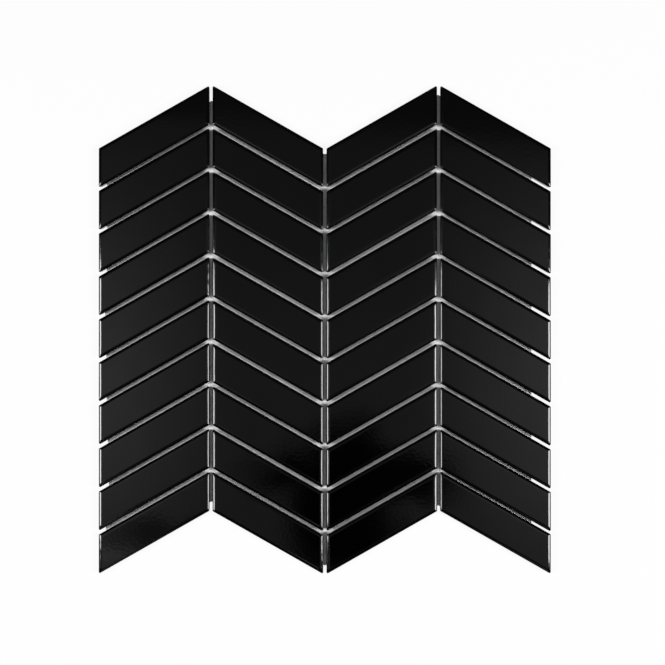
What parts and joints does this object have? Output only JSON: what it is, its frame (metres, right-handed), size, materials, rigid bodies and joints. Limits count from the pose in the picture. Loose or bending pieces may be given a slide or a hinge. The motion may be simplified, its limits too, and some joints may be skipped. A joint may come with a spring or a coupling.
{
  "type": "chevron wall tile",
  "caption": "Mounted chevron mosaic wall tile: glossy black parallelogram tiles laid point to point in mirrored columns on a thin cut backing, with open joints for grout.",
  "frame": {"origin": "underside of the backing, at the middle of the sheet", "axes": "+Z out of the glazed face, +Y the way the chevrons point, +X to the right in the picture"},
  "size_m": [0.2916, 0.3142, 0.0065],
  "materials": {
    "black_glaze": "glossy black glaze over a pale fired body",
    "backing": "pale matt fleece on a thread scrim"
  },
  "bodies": {
    "root": {"tile_col1_row01": "black_glaze", "tile_col1_row02": "black_glaze", "tile_col1_row03": "black_glaze", "tile_col1_row04": "black_glaze", "tile_col1_row05": "black_glaze", "tile_col1_row06": "black_glaze", "tile_col1_row07": "black_glaze", "tile_col1_row08": "black_glaze", "tile_col1_row09": "black_glaze", "tile_col1_row10": "black_glaze", "tile_col2_row01": "black_glaze", "tile_col2_row02": "black_glaze", "tile_col2_row03": "black_glaze", "tile_col2_row04": "black_glaze", "tile_col2_row05": "black_glaze", "tile_col2_row06": "black_glaze", "tile_col2_row07": "black_glaze", "tile_col2_row08": "black_glaze", "tile_col2_row09": "black_glaze", "tile_col2_row10": "black_glaze", "tile_col3_row01": "black_glaze", "tile_col3_row02": "black_glaze", "tile_col3_row03": "black_glaze", "tile_col3_row04": "black_glaze", "tile_col3_row05": "black_glaze", "tile_col3_row06": "black_glaze", "tile_col3_row07": "black_glaze", "tile_col3_row08": "black_glaze", "tile_col3_row09": "black_glaze", "tile_col3_row10": "black_glaze", "tile_col4_row01": "black_glaze", "tile_col4_row02": "black_glaze", "tile_col4_row03": "black_glaze", "tile_col4_row04": "black_glaze", "tile_col4_row05": "black_glaze", "tile_col4_row06": "black_glaze", "tile_col4_row07": "black_glaze", "tile_col4_row08": "black_glaze", "tile_col4_row09": "black_glaze", "tile_col4_row10": "black_glaze", "backing_sheet": "backing"}
  },
  "joints": []
}
